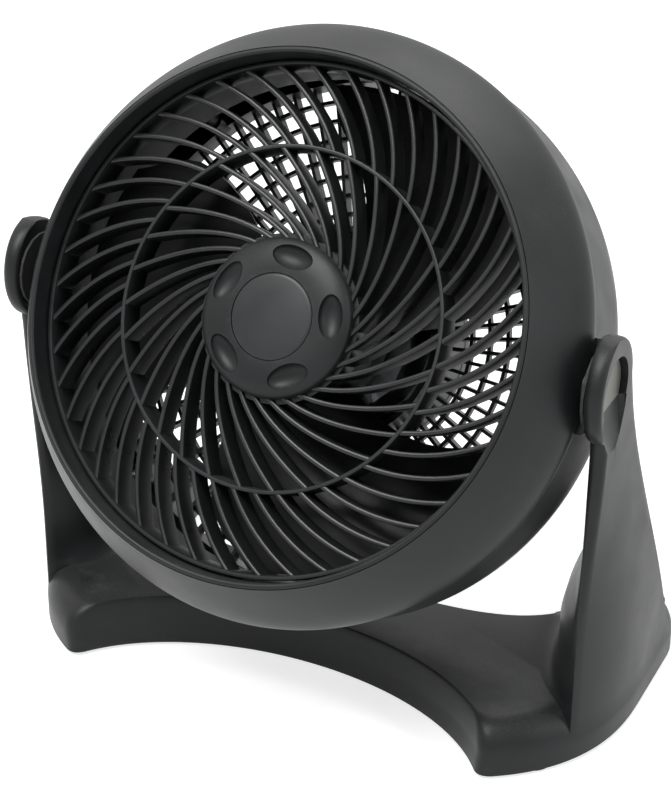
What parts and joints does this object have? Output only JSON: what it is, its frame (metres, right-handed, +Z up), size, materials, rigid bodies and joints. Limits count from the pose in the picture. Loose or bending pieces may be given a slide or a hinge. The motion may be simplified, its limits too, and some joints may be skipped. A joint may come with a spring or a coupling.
{
  "type": "table air circulator fan",
  "caption": "Drum-shaped table air circulator fan with a spiral-vane grille, tilting between the two arms of a low open-footed stand.",
  "frame": {"origin": "on the floor, under the middle of the whole fan", "axes": "+Z up, -Y towards the front that blows air, +X to the right as seen from the front"},
  "size_m": [0.2452, 0.1706, 0.2515],
  "materials": {
    "charcoal_plastic": "charcoal black moulded plastic, fine satin grain",
    "grille_plastic": "charcoal black moulded plastic, smooth satin",
    "badge_plastic": "smooth dark disc, bare",
    "blade_plastic": "near-black smooth plastic",
    "pad_rubber": "black rubber",
    "bright_steel": "bright zinc-plated steel",
    "laminated_steel": "stacked sheet steel",
    "copper_wire": "enamelled copper wire",
    "sintered_bronze": "oiled sintered bronze",
    "zinc_plate": "zinc-plated sheet steel",
    "switch_plastic": "off-white switch body",
    "acetal": "natural white acetal"
  },
  "bodies": {
    "stand": {"stand": "charcoal_plastic", "foot_pad_front_left": "pad_rubber", "foot_pad_front_right": "pad_rubber", "foot_pad_rear_left": "pad_rubber", "foot_pad_rear_right": "pad_rubber", "pivot_pin_left": "acetal", "friction_washer_left": "pad_rubber", "pivot_clip_left": "bright_steel", "pivot_pin_right": "acetal", "friction_washer_right": "pad_rubber", "pivot_clip_right": "bright_steel"},
    "head": {"front_bezel": "charcoal_plastic", "front_grille": "grille_plastic", "hub_cap": "charcoal_plastic", "hub_badge": "badge_plastic", "hub_screw": "bright_steel", "rear_housing": "charcoal_plastic", "housing_screw_1": "bright_steel", "housing_screw_2": "bright_steel", "housing_screw_3": "bright_steel", "housing_screw_4": "bright_steel", "stator_core": "laminated_steel", "coil_1": "copper_wire", "coil_2": "copper_wire", "coil_3": "copper_wire", "coil_4": "copper_wire", "motor_front_bracket": "zinc_plate", "motor_rear_bracket": "zinc_plate", "front_bushing": "sintered_bronze", "rear_bushing": "sintered_bronze", "motor_screw_1": "bright_steel", "motor_screw_2": "bright_steel", "motor_screw_3": "bright_steel", "motor_screw_4": "bright_steel", "rear_cover": "charcoal_plastic", "cover_screw_1": "bright_steel", "cover_screw_2": "bright_steel", "cover_screw_3": "bright_steel", "speed_switch": "switch_plastic", "cord_gland": "pad_rubber"},
    "rotor": {"fan_blade": "blade_plastic", "blade_nut": "acetal", "motor_shaft": "bright_steel", "rotor_core": "laminated_steel"},
    "knob": {"speed_knob": "charcoal_plastic", "switch_shaft": "acetal"}
  },
  "joints": [
    {"name": "head_tilt", "type": "hinge", "parent": "stand", "child": "head", "pos_m": [0, -0.01172, 0.15], "axis": [-1, 0, 0], "range_deg": [-29.2, 60.8]},
    {"name": "blade_spin", "type": "hinge", "parent": "head", "child": "rotor", "pos_m": [0, -0.01172, 0.15], "axis": [0, -0.8729, 0.4879], "continuous": true},
    {"name": "speed_turn", "type": "hinge", "parent": "head", "child": "knob", "pos_m": [0, -0.01172, 0.15], "axis": [0, -0.8729, 0.4879], "range_deg": [0, 120]}
  ]
}
